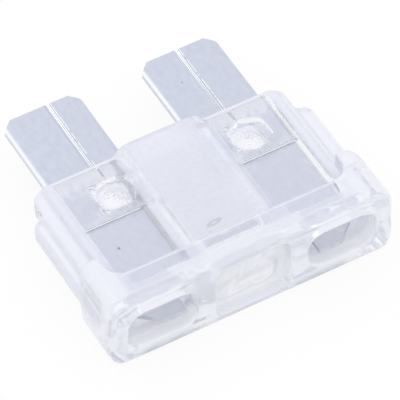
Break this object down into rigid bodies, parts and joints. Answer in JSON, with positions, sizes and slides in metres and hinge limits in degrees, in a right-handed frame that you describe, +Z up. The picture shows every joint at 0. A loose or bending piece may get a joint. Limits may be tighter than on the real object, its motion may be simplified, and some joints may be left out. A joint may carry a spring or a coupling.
{
  "type": "automotive blade fuse",
  "caption": "Plug-in blade fuse: a folded sheet element with flat blades and a fusible link, staked in a clear moulded housing with test pockets in its head.",
  "frame": {"origin": "middle of the fuse's width and length, on the surface that its back rests on", "axes": "+X across the two blades, +Y from the head towards the blade tips, +Z up through the thickness, from the back face to the front face"},
  "size_m": [0.0194, 0.0186, 0.0051],
  "materials": {
    "clear_plastic": "clear moulded plastic, smooth outside, lightly frosted over the link",
    "satin_zinc": "satin, with fine rolling lines along the blades"
  },
  "bodies": {
    "root": {"housing": "clear_plastic", "fuse_element": "satin_zinc"}
  },
  "joints": []
}
